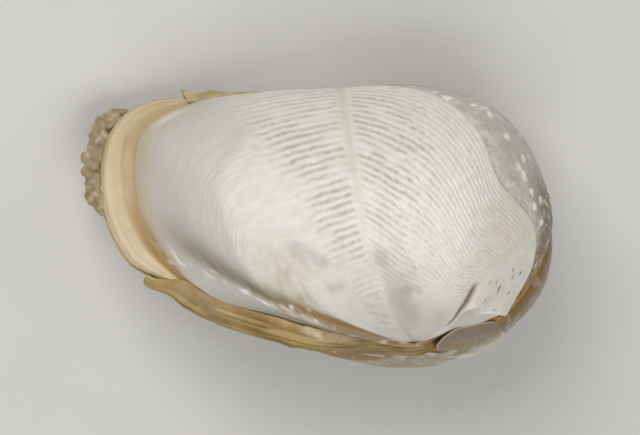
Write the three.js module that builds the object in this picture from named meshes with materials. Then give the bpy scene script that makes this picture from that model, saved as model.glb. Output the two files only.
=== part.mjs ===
// Closed boring clam of the angel wing family, lying on its right valve: mm, +Z up, front end towards +X.
import * as THREE from 'three';
import { mergeVertices } from 'three/addons/utils/BufferGeometryUtils.js';

// Margin of one valve, hinge first, then round the hind end, the lower edge and the front.
// Each point: distance forward of the beak, distance below the hinge line, share of the growth the disc takes.
const MARGIN = [
  [0.0, -0.45, 1.0],
  [-4.4, 0.3, 1.0],
  [-10.6, 1.6, 1.0],
  [-18.4, 4.4, 1.0],
  [-22.2, 7.8, 1.0],
  [-24.7, 12.2, 1.0],
  [-25.4, 17.0, 1.0],
  [-24.4, 20.9, 1.0],
  [-20.4, 23.4, 1.0],
  [-14.7, 24.5, 1.0],
  [-6.6, 25.0, 1.0],
  [-1.2, 25.3, 0.94],
  [3.1, 24.6, 0.88],
  [7.1, 22.8, 0.795],
  [9.8, 19.5, 0.72],
  [11.3, 15.5, 0.755],
  [11.9, 11.8, 0.82],
  [11.0, 8.1, 0.872],
  [8.6, 4.2, 0.918],
  [6.7, 2.3, 1.0],
  [3.3, 1.2, 1.0],
];

// Resting attitude: roll about the hinge line, then hind end down.
const ROLL = 0.61;
const PITCH = 0.13;
const REST_SHAVE = 0.3;
const REST_BAND = 0.3;
const OUTLINE_CENTRE = new THREE.Vector2(-7.539, 8.988);

// Growth of a valve about its beak
const SWING = 2.1;
const SWING_EASE = 0.16;
const HIND_TAPER = 0.25;
const BEAK_LIFT = 0.75;
const SEAM_HALF = 0.15;
const FRONT_SEAM = 0.95;
const HIND_SEAM = 1.0;
const FRONT_FULLNESS = 3.4;
const FRONT_BULGE = 2.4;
const BULGE_CENTRE = new THREE.Vector2(2, 15);
const FURROW_BEND = 1.35;

// Walls
const INSIDE_SCALE = 0.92;
const INSIDE_CENTRE = new THREE.Vector3(-5, 11, 0);
const CALLUM_OUTSIDE = 0.982;
const CALLUM_INSIDE = 0.93;
const CALLUM_GAP = 0.024;

// Relief on the outside of a valve
const RIDGE_HEIGHT = 0.3;
const FURROW_DEPTH = 0.35;
const TROUGH_DEPTH = 0.3;
const FLAP_HEIGHT = 0.45;
const POCKET_DEPTH = 0.3;

// Mesh fineness
const COLUMNS = 50;
const OUTER_ROWS = 28;
const INNER_ROWS = 5;

const LEFT = 1;
const RIGHT = -1;

const marginCurve = new THREE.CatmullRomCurve3(
  MARGIN.map((point) => new THREE.Vector3(...point)), true, 'catmullrom', 0.5);

// Turn round the margin, 0 to 1, of a place counted in margin points.
function turnAt(pointNumber) {
  return pointNumber / MARGIN.length;
}

// Smooth hump of height 1 round the margin; centre and width are counted in margin points.
function hump(turn, centre, width) {
  const away = ((turn - turnAt(centre) + 1.5) % 1) - 0.5;
  return Math.exp(-((away / turnAt(width)) ** 2));
}

// Smooth band of height 1 between two margin points.
function band(turn, first, last, soft) {
  const number = turn * MARGIN.length;
  return THREE.MathUtils.smoothstep(number, first - soft, first + soft)
    * (1 - THREE.MathUtils.smoothstep(number, last - soft, last + soft));
}

function seamLift(turn) {
  return SEAM_HALF + FRONT_SEAM * hump(turn, 19, 3.3) + HIND_SEAM * hump(turn, 6, 1.6);
}

function discShare(turn) {
  return Math.min(1, marginCurve.getPoint(turn).z);
}

// Smooth left valve in the shell's own axes: x forward, y down from the hinge line, z out of the seam plane.
function surface(growth, turn) {
  const edge = marginCurve.getPoint(turn);
  const swing = SWING * (1 - growth) * (1 - SWING_EASE * (1 - growth) ** 2);
  const rounding = Math.sqrt(Math.max(0, 1 - growth ** 6));
  const hind = THREE.MathUtils.clamp((-edge.x - 6) / 20, 0, 1);
  const outward = new THREE.Vector2(edge.x, edge.y).sub(BULGE_CENTRE).normalize();
  const bulge = FRONT_BULGE * hump(turn, 16.8, 2.8) * rounding * growth ** 4;
  const reach = Math.max(0, edge.y) * growth;
  const bend = FURROW_BEND * 4 * growth * (1 - growth) * hump(turn, 10, 1.9);
  const x = edge.x * growth - bend + bulge * outward.x;
  const y = (edge.y > 0 ? reach * Math.cos(swing) : edge.y * growth) + bulge * outward.y;
  const z = SEAM_HALF + (seamLift(turn) - SEAM_HALF) * growth
    + reach * Math.sin(swing) * (1 - HIND_TAPER * hind)
    + BEAK_LIFT * (1 - growth ** 3)
    + FRONT_FULLNESS * hump(turn, 15.4, 3.6) * rounding * growth ** 1.5;
  return new THREE.Vector3(x, y, z);
}

function surfaceNormal(growth, turn) {
  const step = 0.004;
  const low = Math.max(0.02, growth - step);
  const high = Math.min(0.995, growth + step);
  const along = surface(high, turn).sub(surface(low, turn));
  const round = surface(growth, turn + step).sub(surface(growth, (turn - step + 1) % 1));
  return round.cross(along).normalize();
}

function inward(point, scale) {
  return point.clone().sub(INSIDE_CENTRE).multiplyScalar(scale).add(INSIDE_CENTRE);
}

// Height of the outside above the smooth valve. Ridge rows alternate between crest and furrow.
function relief(share, turn, row) {
  const grown = THREE.MathUtils.smoothstep(share, 0.12, 0.35);
  const crest = row % 2 === 1 ? 1 : 0;
  const ridgeZone = band(turn, 8.6, 16.2, 0.8) * grown;
  const ridges = RIDGE_HEIGHT * crest * ridgeZone;
  const furrow = -FURROW_DEPTH * hump(turn, 10, 0.3) * grown;
  const trough = -TROUGH_DEPTH * hump(turn, 4.5, 0.6) * grown;
  const flapZone = band(turn, 16.3, 18.6, 0.15);
  const flap = FLAP_HEIGHT * flapZone * THREE.MathUtils.smoothstep(share, 0.5, 0.6);
  const pocket = -POCKET_DEPTH * flapZone * hump(share, 0.4 * MARGIN.length, 0.1 * MARGIN.length);
  const fade = 1 - THREE.MathUtils.smoothstep(share, 0.97, 1) * (1 - flapZone);
  return (ridges + furrow + trough + flap + pocket) * fade;
}

// Shell axes to resting axes, before the height above the floor is set.
function tip(point, side) {
  const z = point.z * side;
  const across = point.y * Math.cos(ROLL) + z * Math.sin(ROLL);
  const raised = -point.y * Math.sin(ROLL) + z * Math.cos(ROLL);
  const forward = point.x * Math.cos(PITCH) - raised * Math.sin(PITCH);
  const height = raised * Math.cos(PITCH) + point.x * Math.sin(PITCH);
  return new THREE.Vector3(forward, across, height);
}

function valveColumn(turn) {
  const column = [];
  for (let row = 0; row <= OUTER_ROWS; row += 1) {
    const share = row / OUTER_ROWS;
    const growth = share * discShare(turn);
    const point = surface(growth, turn);
    if (row > 0) {
      point.addScaledVector(surfaceNormal(growth, turn), relief(share, turn, row));
    }
    column.push(point);
  }
  return column;
}

function valveInsideColumn(turn) {
  const column = [];
  for (let row = 0; row <= INNER_ROWS; row += 1) {
    const growth = (row / INNER_ROWS) * discShare(turn);
    column.push(inward(surface(growth, turn), INSIDE_SCALE));
  }
  return column;
}

function roundTurns(count) {
  return Array.from({ length: count }, (unused, index) => index / count);
}

function spanTurns(first, last, count) {
  return Array.from({ length: count + 1 }, (unused, index) => turnAt(first + (last - first) * (index / count)));
}

const valveOutside = roundTurns(COLUMNS).map(valveColumn);
const valveInside = roundTurns(COLUMNS).map(valveInsideColumn);
const lowest = Math.min(...valveOutside.flat().map((point) => tip(point, RIGHT).z));
const floorLevel = lowest + REST_SHAVE;

// Shell axes to the finished part: middle of its outline at the origin, on the floor, lowest patch worn flat.
function settle(point, side) {
  const placed = tip(point, side);
  const height = placed.z - floorLevel;
  placed.x -= OUTLINE_CENTRE.x;
  placed.y -= OUTLINE_CENTRE.y;
  placed.z = height < REST_BAND ? 0 : height;
  return placed;
}

function addTriangle(list, a, b, c) {
  const area = b.clone().sub(a).cross(c.clone().sub(a)).length();
  if (area > 1e-9) {
    list.push(a.x, a.y, a.z, b.x, b.y, b.z, c.x, c.y, c.z);
  }
}

function addQuad(list, a, b, c, d) {
  addTriangle(list, a, b, d);
  addTriangle(list, b, c, d);
}

// Skin between two neighbouring columns, seen from the outside of a left-hand piece.
function addSkin(list, here, next, flip) {
  for (let row = 0; row + 1 < here.length; row += 1) {
    if (flip) {
      addQuad(list, here[row + 1], next[row + 1], next[row], here[row]);
    } else {
      addQuad(list, here[row], next[row], next[row + 1], here[row + 1]);
    }
  }
}

// Closed solid between an outside and an inside given as columns of points in shell axes.
function walledSolid(outside, inside, side, wraps) {
  const flip = side === RIGHT;
  const outer = outside.map((column) => column.map((point) => settle(point, side)));
  const inner = inside.map((column) => column.map((point) => settle(point, side)));
  const list = [];
  const count = outer.length;
  const spans = wraps ? count : count - 1;
  for (let index = 0; index < spans; index += 1) {
    const next = (index + 1) % count;
    addSkin(list, outer[index], outer[next], flip);
    addSkin(list, inner[index], inner[next], !flip);
    addSkin(list, [outer[index].at(-1), inner[index].at(-1)], [outer[next].at(-1), inner[next].at(-1)], flip);
    if (!wraps) {
      addSkin(list, [outer[index][0], inner[index][0]], [outer[next][0], inner[next][0]], !flip);
    }
  }
  if (!wraps) {
    addSkin(list, inner[0], outer[0], flip);
    addSkin(list, outer[count - 1], inner[count - 1], flip);
  }
  const geometry = new THREE.BufferGeometry();
  geometry.setAttribute('position', new THREE.Float32BufferAttribute(list, 3));
  const joined = mergeVertices(geometry, 1e-4);
  joined.computeVertexNormals();
  return joined;
}

const chalk = new THREE.MeshStandardMaterial({ color: 0xd9d8dc, roughness: 0.7, metalness: 0 });
const greyHorn = new THREE.MeshStandardMaterial({ color: 0xa9a39c, roughness: 0.5, metalness: 0 });
const tanHorn = new THREE.MeshStandardMaterial({ color: 0x9c7c55, roughness: 0.55, metalness: 0 });
const brownHorn = new THREE.MeshStandardMaterial({ color: 0x6f5a44, roughness: 0.5, metalness: 0 });
const cream = new THREE.MeshStandardMaterial({ color: 0xd8c8a8, roughness: 0.6, metalness: 0 });
const ochre = new THREE.MeshStandardMaterial({ color: 0xb5772e, roughness: 0.6, metalness: 0 });
const fleshGrey = new THREE.MeshStandardMaterial({ color: 0xb3a493, roughness: 0.8, metalness: 0 });

const group = new THREE.Group();
group.name = 'angel_wing_clam_shell';

function addPiece(name, geometry, material) {
  const mesh = new THREE.Mesh(geometry, material);
  mesh.name = name;
  group.add(mesh);
}

function addValve(name, side) {
  addPiece(name, walledSolid(valveOutside, valveInside, side, true), chalk);
}

// Front plate that closes the opening in front of the disc.
function addCallum(name, side) {
  const rows = 4;
  const turns = spanTurns(11.1, 18.2, 18);
  const column = (turn, scale) => {
    const start = discShare(turn) + CALLUM_GAP;
    return Array.from({ length: rows + 1 }, (unused, row) => {
      const growth = start + (1 - start) * (row / rows);
      return inward(surface(growth, turn), scale);
    });
  };
  const outside = turns.map((turn) => column(turn, CALLUM_OUTSIDE));
  const inside = turns.map((turn) => column(turn, CALLUM_INSIDE));
  addPiece(name, walledSolid(outside, inside, side, false), greyHorn);
}

// Outward direction in the seam plane, square to the margin.
function marginOutward(turn) {
  const step = 0.004;
  const ahead = marginCurve.getPoint(turn + step);
  const behind = marginCurve.getPoint((turn - step + 1) % 1);
  return new THREE.Vector2(behind.y - ahead.y, ahead.x - behind.x).normalize();
}

// Point beside the margin: distance outside it and height out of the seam plane.
function besideMargin(turn, outside, height) {
  const edge = marginCurve.getPoint(turn);
  const outward = marginOutward(turn);
  return new THREE.Vector3(edge.x + outward.x * outside, edge.y + outward.y * outside, height);
}

// Collar plate that lengthens the hind end round the siphon and falls from the margin towards the seam.
function addSiphonoplax(name, side) {
  const first = 3.5;
  const last = 8.1;
  const rows = 4;
  const thickness = 0.4;
  const gap = 0.3;
  const turns = spanTurns(first, last, 16);
  const column = (turn, lift) => {
    const number = turn * MARGIN.length;
    const width = Math.min(0.15 + 2.5 * (number - first), 2.5 - 0.28 * (number - 5.3) ** 2);
    const root = seamLift(turn) - 0.1;
    const mouth = SEAM_HALF + 0.8 * hump(turn, 6.2, 1.3);
    return Array.from({ length: rows + 1 }, (unused, row) => {
      const out = row / rows;
      return besideMargin(turn, gap + width * out, root + (mouth - root) * out ** 2 + lift);
    });
  };
  const outside = turns.map((turn) => column(turn, thickness));
  const inside = turns.map((turn) => column(turn, 0));
  addPiece(name, walledSolid(outside, inside, side, false), cream);
}

// Strip lying along the seam outside both margins, thickest on the seam and thin at its two edges.
// The shape's gap, thickness and fullness are functions of the share of its length.
function addSeamStrip(name, first, last, shape, material) {
  const rows = 4;
  const turns = spanTurns(first, last, shape.columns);
  const column = (turn, isOutside) => {
    const along = THREE.MathUtils.clamp((turn * MARGIN.length - first) / (last - first), 0, 1);
    const fullness = shape.fullness(along);
    const half = shape.halfWidth * fullness;
    return Array.from({ length: rows + 1 }, (unused, row) => {
      const across = 1 - (2 * row) / rows;
      const crown = (shape.thickness(along) - 0.2) * (1 - across * across) * fullness;
      const outside = shape.gap(along) + (isOutside ? 0.2 + crown : 0) - shape.wrap * across * across;
      return besideMargin(turn, outside, shape.shift + half * across);
    });
  };
  const outside = turns.map((turn) => column(turn, true));
  const inside = turns.map((turn) => column(turn, false));
  addPiece(name, walledSolid(outside, inside, LEFT, false), material);
}

// Long strip behind the beaks: pointed in front, blunt behind, where it passes outside the collar.
function addMetaplax() {
  addSeamStrip('metaplax', 0.9, 4.0, {
    columns: 22,
    halfWidth: 1.5,
    wrap: 0,
    shift: 0,
    fullness: (along) => Math.max(0.3, Math.min(1, 2.5 * along) ** 0.5),
    gap: (along) => 0.55 + 1.45 * THREE.MathUtils.smoothstep(along, 0.8, 1),
    thickness: (along) => 1.15 - 0.6 * THREE.MathUtils.smoothstep(along, 0.75, 1),
  }, tanHorn);
}

// Strip along the lower seam: blunt and thick behind, thin and pointed in front.
function addHypoplax() {
  addSeamStrip('hypoplax', 8.2, 9.9, {
    columns: 12,
    halfWidth: 1.1,
    wrap: 0,
    shift: 0,
    fullness: (along) => Math.max(0.3, (1 - along) ** 0.5),
    gap: () => 0.35,
    thickness: (along) => 0.75 - 0.5 * THREE.MathUtils.smoothstep(along, 0.25, 0.7),
  }, tanHorn);
}

// Lens-shaped plate in front of the beaks
function addMesoplax() {
  addSeamStrip('mesoplax', 18.75, 20.4, {
    columns: 12,
    halfWidth: 2.0,
    wrap: 0.2,
    shift: -0.3,
    fullness: (along) => Math.max(0.25, Math.sin(Math.PI * along) ** 0.5),
    gap: () => 0.75,
    thickness: () => 0.6,
  }, brownHorn);
}

// Soft skin that bridges the gap between the two front plates.
function addMembrane() {
  const turns = spanTurns(15.9, 18.4, 12);
  const column = (turn, outside) => {
    const half = seamLift(turn) - 0.3;
    return [1, 0, -1].map((across) => besideMargin(turn, outside, half * across));
  };
  const outside = turns.map((turn) => column(turn, 0.15));
  const inside = turns.map((turn) => column(turn, -0.35));
  addPiece('membrane', walledSolid(outside, inside, LEFT, false), ochre);
}

// Knobbly tip of the siphon that fills the mouth of the collar.
function addSiphon() {
  const across = 14;
  const rings = 8;
  const turns = spanTurns(5.1, 7.3, across);
  const column = (turn, side) => {
    const along = (turn * MARGIN.length - 5.1) / 2.2;
    const fullness = Math.sin(Math.PI * THREE.MathUtils.clamp(along, 0.04, 0.96)) ** 0.5;
    return Array.from({ length: rings + 1 }, (unused, ring) => {
      const out = ring / rings;
      const knobs = 0.18 * Math.sin(along * 31 + ring * 1.9) * Math.sin(ring * 2.3 + along * 12);
      const neck = 0.55 + 0.75 * THREE.MathUtils.smoothstep(out, 0.55, 0.8);
      const half = (neck * Math.sqrt(Math.max(0, 1 - out ** 8)) + knobs * out) * fullness + 0.04;
      return besideMargin(turn, 0.6 + (3.6 + knobs) * out * (0.7 + 0.3 * fullness), half * side);
    });
  };
  const outside = turns.map((turn) => column(turn, 1));
  const inside = turns.map((turn) => column(turn, -1));
  addPiece('siphon', walledSolid(outside, inside, LEFT, false), fleshGrey);
}

addValve('left_valve', LEFT);
addValve('right_valve', RIGHT);
addCallum('left_callum', LEFT);
addCallum('right_callum', RIGHT);
addSiphonoplax('left_siphonoplax', LEFT);
addSiphonoplax('right_siphonoplax', RIGHT);
addMetaplax();
addHypoplax();
addMesoplax();
addMembrane();
addSiphon();

export default group;
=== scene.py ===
# Closed boring clam of the angel wing family, dressed for rendering: metres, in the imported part's frame.
import math

import bpy
import numpy as np
from mathutils import Matrix, Vector


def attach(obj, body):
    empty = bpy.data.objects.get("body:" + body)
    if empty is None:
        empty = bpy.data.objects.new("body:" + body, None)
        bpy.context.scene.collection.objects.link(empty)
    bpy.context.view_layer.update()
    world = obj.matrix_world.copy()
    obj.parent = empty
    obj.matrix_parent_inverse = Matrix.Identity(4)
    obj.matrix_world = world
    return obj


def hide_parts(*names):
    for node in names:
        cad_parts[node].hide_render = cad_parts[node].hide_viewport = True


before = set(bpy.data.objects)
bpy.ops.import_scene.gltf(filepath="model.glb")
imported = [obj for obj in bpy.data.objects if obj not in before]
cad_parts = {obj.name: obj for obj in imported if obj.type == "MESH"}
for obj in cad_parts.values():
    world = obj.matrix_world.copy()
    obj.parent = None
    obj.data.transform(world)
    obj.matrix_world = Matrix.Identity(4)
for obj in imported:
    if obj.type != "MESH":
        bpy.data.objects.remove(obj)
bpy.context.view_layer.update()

scene = bpy.context.scene

MM = 0.001
LEFT = 1
RIGHT = -1

# Margin of one valve, hinge first, then round the hind end, the lower edge and the front.
# Each point: distance forward of the beak and distance below the hinge line.
# A station is a place on the margin: 0 at the first point, 1 at the second and so on.
MARGIN = MM * np.array([
    (0.0, -0.45), (-4.4, 0.3), (-10.6, 1.6), (-18.4, 4.4), (-22.2, 7.8), (-24.7, 12.2), (-25.4, 17.0),
    (-24.4, 20.9), (-20.4, 23.4), (-14.7, 24.5), (-6.6, 25.0), (-1.2, 25.3), (3.1, 24.6), (7.1, 22.8),
    (9.8, 19.5), (11.3, 15.5), (11.9, 11.8), (11.0, 8.1), (8.6, 4.2), (6.7, 2.3), (3.3, 1.2),
])
STATIONS = len(MARGIN)
# Share of the growth that the ridged disc takes at each margin point
DISC = np.array([1.0] * 11 + [0.94, 0.88, 0.795, 0.72, 0.755, 0.82, 0.872, 0.918, 1.0, 1.0])

# Resting attitude
ROLL = 0.61
PITCH = 0.13
BEAK_HEIGHT = 18.279 * MM
OUTLINE_CENTRE = MM * np.array([-7.539, 8.988, 0.0])

# Growth of a valve about its beak; each place is the station and width of a hump round the margin
SWING = 2.1
SWING_EASE = 0.16
HIND_TAPER = 0.25
HIND_TAPER_START = 6.0 * MM
HIND_TAPER_LENGTH = 20.0 * MM
BEAK_LIFT = 0.75 * MM
SEAM_HALF = 0.15 * MM
FRONT_SEAM = 0.95 * MM
FRONT_SEAM_PLACE = (19.0, 3.3)
HIND_SEAM = 1.0 * MM
HIND_SEAM_PLACE = (6.0, 1.6)
FRONT_FULLNESS = 3.4 * MM
FULLNESS_PLACE = (15.4, 3.6)
FRONT_BULGE = 2.4 * MM
BULGE_PLACE = (16.8, 2.8)
BULGE_CENTRE = MM * np.array([2.0, 15.0])
FURROW_BEND = 1.35 * MM
FURROW_STATION = 10.0
FURROW_BEND_WIDTH = 1.9

# Walls
INSIDE_SCALE = 0.92
INSIDE_CENTRE = MM * np.array([-5.0, 11.0, 0.0])
CALLUM_OUTSIDE = 0.998
CALLUM_INSIDE = 0.93

# Relief
RIDGE_STEP = 0.02
RIDGE_HEIGHT = 0.06 * MM
FURROW_DEPTH = 0.1 * MM
FURROW_WIDTH = 0.09
TROUGH_DEPTH = 0.12 * MM
FLAP_HEIGHT = 0.5 * MM
POCKET_DEPTH = 0.18 * MM
BEADS_PER_STATION = 8.5
RINGS_PER_RIDGE = 2.6
LINE_SHARE = 0.32

# Stretches of the margin that the other pieces take, in stations
CALLUM_STRETCH = (10.1, 18.75)
COLLAR_STRETCH = (3.5, 8.1)
METAPLAX_STRETCH = (-0.45, 4.0)
HYPOPLAX_STRETCH = (8.0, 9.1)
MESOPLAX_STRETCH = (18.88, 20.52)
MEMBRANE_STRETCH = (14.6, 19.3)
SIPHON_FIRST = 5.25
SIPHON_LAST = 7.05
SIPHON_ROOT = (4.0, 7.9)

# Plates, strips and skin
CALLUM_OVERLAP = 0.03
CALLUM_TUCK = 0.35 * MM
FLECK_HEIGHT = 0.04 * MM
SWELLING_PLACE = (17.3, 1.1)
COLLAR_START_WIDTH = 0.15 * MM
COLLAR_WIDTH = 2.5 * MM
COLLAR_NARROWING = 0.28 * MM
COLLAR_MIDDLE = 5.3
COLLAR_LIP = 0.38 * MM
COLLAR_OVERLAP = 0.08 * MM
COLLAR_ROOT_DROP = 0.1 * MM
COLLAR_MOUTH = 0.8 * MM
COLLAR_MOUTH_PLACE = (6.2, 1.3)
COLLAR_THICKNESS = 0.4 * MM
COLLAR_WAVE = 0.05 * MM
COLLAR_SEAT = 0.98
COLLAR_SINK = 0.04 * MM
STRIP_EDGE = 0.15 * MM
FIBRE_HEIGHT = 0.05 * MM
CRUMB_HEIGHT = 0.18 * MM
MEMBRANE_OVERLAP = 0.1 * MM
MEMBRANE_WIDENING = 0.7 * MM
MEMBRANE_CROWN = 0.45 * MM
MEMBRANE_SINK = 0.05 * MM
MEMBRANE_DEPTH = 0.6 * MM
MEMBRANE_CREASE = 0.1 * MM

# Underneath side: stains, and how far its front plate swells beside the beak
FAR_VALVE_STAIN = 1.0
FAR_CALLUM_STAIN = 0.7
FAR_SWELLING = 0.45 * MM

# Siphon tip
SIPHON_REACH = 3.6 * MM
SIPHON_BASE = 0.6 * MM
SIPHON_NECK = 0.55 * MM
SIPHON_SWELL = 0.6 * MM
SIPHON_EDGE = 0.04 * MM
LUMPS = 190
LUMP_RADII = (0.28 * MM, 0.55 * MM)
LUMP_ROWS = 12
LUMP_COLUMNS = 18
MELT_VOXEL = 0.09 * MM
MELT_SMOOTHING = 4

# Point grids: stretches of (start, end, count) for a valve, counts for the others
VALVE_COLUMNS = [(0, 3, 30), (3, 8.5, 70), (8.5, 15, 170), (15, 19, 130), (19, 21, 30)]
VALVE_ROWS = [(0.004, 0.3, 22), (0.3, 1.0, 192)]
VALVE_INNER_ROWS = (0.004, 1.0, 8)
CALLUM_GRID = (220, 60)
COLLAR_GRID = (170, 36)
STRIP_ROWS = 44
MEMBRANE_GRID = (116, 20)
SIPHON_GRID = (100, 40)

# Photograph: how it looks at the shell and how much of it the frame takes in
VIEW_TILT = 0.40
FRAME_WIDTH = 56.83 * MM
FRAME_CENTRE = MM * np.array([-8.44, 11.41])
CAMERA_DISTANCE = 0.6
SENSOR_WIDTH = 36.0

# Studio: each light's place right of, above and in front of the beak as the photograph sees it
KEY_PLACE = (-0.14, 0.27, 0.52)
KEY_POWER = 2.15
FILL_PLACE = (0.1, -0.34, 0.4)
FILL_POWER = 1.1
LIGHT_SIZE = 0.35
SKY_STRENGTH = 0.3
FLOOR_HALF = 0.6

NOISE_CELLS = 24


# Curves and fields
def catmull(values, station):
    """Closed smooth curve through one value per margin point."""
    values = np.asarray(values, float)
    count = len(values)
    base = np.floor(station).astype(int)
    part = np.asarray(station - base)
    if values.ndim > 1:
        part = part[..., None]
    before, here = values[(base - 1) % count], values[base % count]
    after, last = values[(base + 1) % count], values[(base + 2) % count]
    bend = 2 * before - 5 * here + 4 * after - last
    twist = 3 * here - before - 3 * after + last
    return 0.5 * (2 * here + (after - before) * part + bend * part ** 2 + twist * part ** 3)


def bell(away, width):
    """Smooth bell of height 1 over the distance from its middle."""
    return np.exp(-(away / width) ** 2)


def hump(station, centre, width):
    """Bell round the closed margin."""
    return bell((station - centre + STATIONS / 2) % STATIONS - STATIONS / 2, width)


def ramp(value, low, high):
    """0 below low, 1 above high, smooth between."""
    part = np.clip((value - low) / (high - low), 0, 1)
    return part * part * (3 - 2 * part)


def fade(value, low, high):
    """1 below low, 0 above high, smooth between."""
    return 1 - ramp(value, low, high)


def band(value, rise, fall):
    """1 between a rise and a fall, each (low, high), and 0 outside them."""
    return ramp(value, *rise) * fade(value, *fall)


def trace(value, points):
    """Straight stretches through points, each (value, result)."""
    places, results = zip(*points)
    return np.interp(value, places, results)


def spot(share, station, place, size):
    """Soft spot of height 1; place and size are (station, share)."""
    return np.exp(-((station - place[0]) / size[0]) ** 2 - ((share - place[1]) / size[1]) ** 2)


def spots(share, station, patches):
    """Sum of soft spots, each (place, size, strength)."""
    return sum(strength * spot(share, station, place, size) for place, size, strength in patches)


def field(points, seed):
    """Smooth seeded random field, about -1 to 1, one cell per unit."""
    lattice = np.random.default_rng(seed).random((NOISE_CELLS,) * 3) * 2 - 1
    base = np.floor(points).astype(int)
    part = points - base
    part = part * part * (3 - 2 * part)
    total = np.zeros(points.shape[:-1])
    for corner in np.ndindex(2, 2, 2):
        weight = np.prod(np.where(np.array(corner, bool), part, 1 - part), axis=-1)
        cell = (base + np.array(corner)) % NOISE_CELLS
        total += weight * lattice[cell[..., 0], cell[..., 1], cell[..., 2]]
    return total


def flat_field(first, second, seed):
    """Random field over two values."""
    first, second = np.broadcast_arrays(first, second)
    return field(np.stack([first, second, np.zeros_like(first)], axis=-1), seed)


# Shape of a valve in shell axes: x forward, y down from the hinge line, z out of the seam plane
def disc_share(station):
    return np.minimum(1, catmull(DISC, station))


def seam_lift(station):
    """Height of the margin out of the seam plane, most at the two gaping ends."""
    front = FRONT_SEAM * hump(station, *FRONT_SEAM_PLACE)
    return SEAM_HALF + front + HIND_SEAM * hump(station, *HIND_SEAM_PLACE)


def surface(growth, station):
    """Smooth outside of a valve; growth runs from 0 at the beak to 1 at the margin."""
    growth, station = np.broadcast_arrays(np.asarray(growth, float), np.asarray(station, float))
    edge = catmull(MARGIN, station)
    swing = SWING * (1 - growth) * (1 - SWING_EASE * (1 - growth) ** 2)
    rounding = np.sqrt(np.maximum(0, 1 - growth ** 6))
    hind = np.clip((-edge[..., 0] - HIND_TAPER_START) / HIND_TAPER_LENGTH, 0, 1)
    outward = edge - BULGE_CENTRE
    outward = outward / np.linalg.norm(outward, axis=-1, keepdims=True)
    bulge = FRONT_BULGE * hump(station, *BULGE_PLACE) * rounding * growth ** 4
    reach = np.maximum(0, edge[..., 1]) * growth
    bend = FURROW_BEND * 4 * growth * (1 - growth) * hump(station, FURROW_STATION, FURROW_BEND_WIDTH)
    x = edge[..., 0] * growth - bend + bulge * outward[..., 0]
    y = np.where(edge[..., 1] > 0, reach * np.cos(swing), edge[..., 1] * growth)
    y = y + bulge * outward[..., 1]
    z = SEAM_HALF + (seam_lift(station) - SEAM_HALF) * growth
    z = z + reach * np.sin(swing) * (1 - HIND_TAPER * hind)
    z = z + BEAK_LIFT * (1 - growth ** 3)
    z = z + FRONT_FULLNESS * hump(station, *FULLNESS_PLACE) * rounding * growth ** 1.5
    return np.stack([x, y, z], axis=-1)


def surface_normal(growth, station):
    """Outward direction, held off the beak and the margin."""
    step = 0.004
    low = np.clip(growth - step, 0.02, 0.985)
    high = np.clip(growth + step, 0.03, 0.995)
    along = surface(high, station) - surface(low, station)
    held = np.maximum(growth, 0.02)
    around = surface(held, station + 0.05) - surface(held, station - 0.05)
    normal = np.cross(around, along)
    return normal / np.maximum(np.linalg.norm(normal, axis=-1, keepdims=True), 1e-12)


def inward(points, scale):
    """Points drawn in towards the middle of the hollow."""
    return (points - INSIDE_CENTRE) * scale + INSIDE_CENTRE


def margin_outward(station):
    """Direction out of the margin, within the seam plane."""
    step = 0.08
    run = catmull(MARGIN, station + step) - catmull(MARGIN, station - step)
    outward = np.stack([-run[..., 1], run[..., 0]], axis=-1)
    return outward / np.linalg.norm(outward, axis=-1, keepdims=True)


def beside_margin(station, outside, height):
    """Point in shell axes: distance outside the margin and height out of the seam plane."""
    station, outside, height = np.broadcast_arrays(station, outside, height)
    flat = catmull(MARGIN, station) + margin_outward(station) * outside[..., None]
    return np.concatenate([flat, height[..., None]], axis=-1)


# Shell axes to the part's frame
def turn_to_rest(vectors, side=LEFT):
    x, y, z = vectors[..., 0], vectors[..., 1], vectors[..., 2] * side
    across = y * math.cos(ROLL) + z * math.sin(ROLL)
    raised = -y * math.sin(ROLL) + z * math.cos(ROLL)
    forward = x * math.cos(PITCH) - raised * math.sin(PITCH)
    height = raised * math.cos(PITCH) + x * math.sin(PITCH)
    return np.stack([forward, across, height], axis=-1)


def settle(points, side=LEFT):
    """Points of one side in the part's frame, worn flat at the floor."""
    placed = turn_to_rest(points, side) - OUTLINE_CENTRE
    placed[..., 2] = np.maximum(0, placed[..., 2] + BEAK_HEIGHT)
    return placed


# Meshes
def skin_faces(first, columns, rows, wraps, flip):
    """Quads of one point grid whose vertices start at index first, column by column."""
    spans = columns if wraps else columns - 1
    column, row = np.meshgrid(np.arange(spans), np.arange(rows - 1), indexing="ij")
    after = (column + 1) % columns
    corners = [column * rows + row, after * rows + row, after * rows + row + 1, column * rows + row + 1]
    quads = first + np.stack([corner.ravel() for corner in corners], axis=-1)
    return quads[:, ::-1] if flip else quads


def strip_faces(first_line, second_line, wraps, flip):
    """Quads between two lines of vertex indices."""
    here = np.stack([first_line, second_line], axis=-1)
    after = np.roll(here, -1, axis=0)
    quads = np.stack([here[:, 0], after[:, 0], after[:, 1], here[:, 1]], axis=-1)
    quads = quads if wraps else quads[:-1]
    return quads[:, ::-1] if flip else quads


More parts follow.
